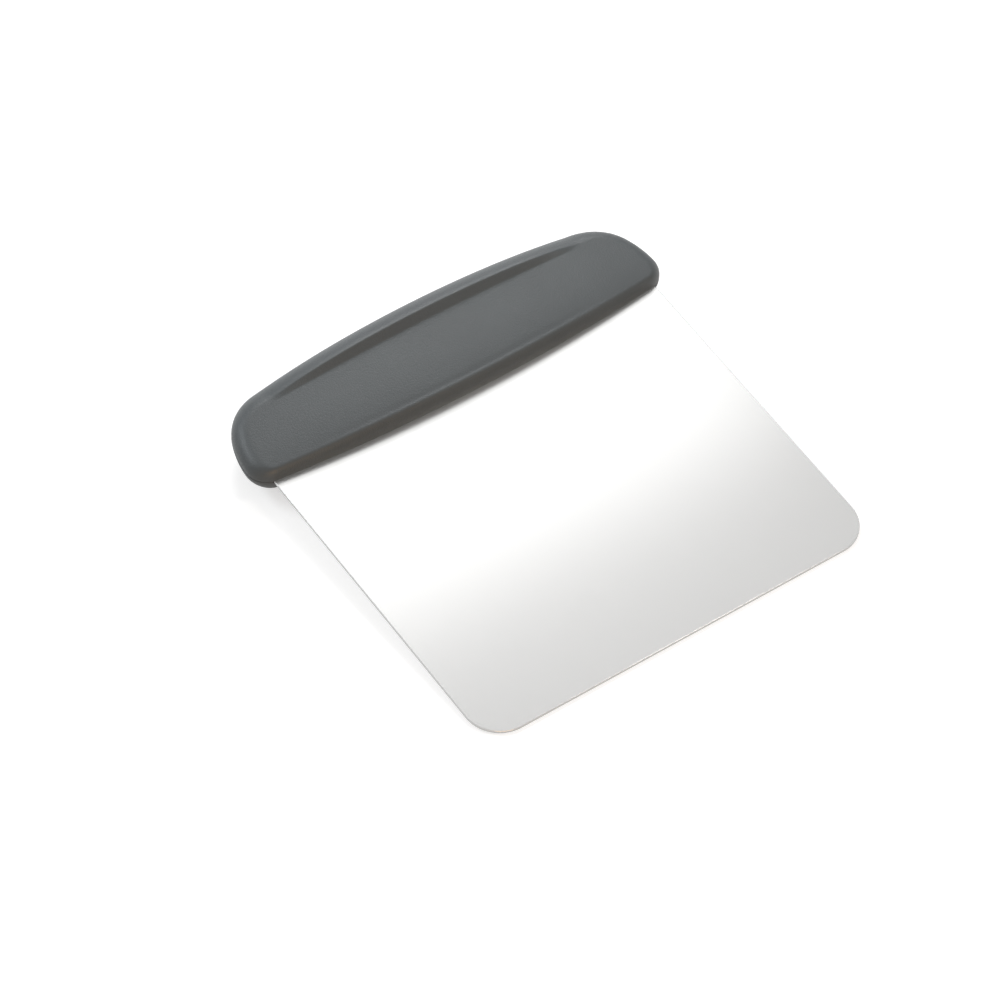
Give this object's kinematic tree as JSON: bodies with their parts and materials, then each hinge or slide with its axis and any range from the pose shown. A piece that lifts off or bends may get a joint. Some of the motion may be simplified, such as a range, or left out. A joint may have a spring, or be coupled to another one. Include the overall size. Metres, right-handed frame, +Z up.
{
  "type": "bench scraper",
  "caption": "Flat steel scraper blade with rounded front corners, held in a bowed moulded handle with a raised ridge along its back, for dividing dough and clearing a board.",
  "frame": {"origin": "on the table under the middle of the object's box, with the scraper lying on its front edge and on the crest under its handle", "axes": "+X along the handle, +Y from the blade's front edge to the back of the handle, +Z up from the table"},
  "size_m": [0.129, 0.126, 0.0176],
  "materials": {
    "steel": "fine satin",
    "grip": "fine moulded grain, matte"
  },
  "bodies": {
    "root": {"blade": "steel", "handle_upper_shell": "grip", "handle_lower_shell": "grip"}
  },
  "joints": []
}
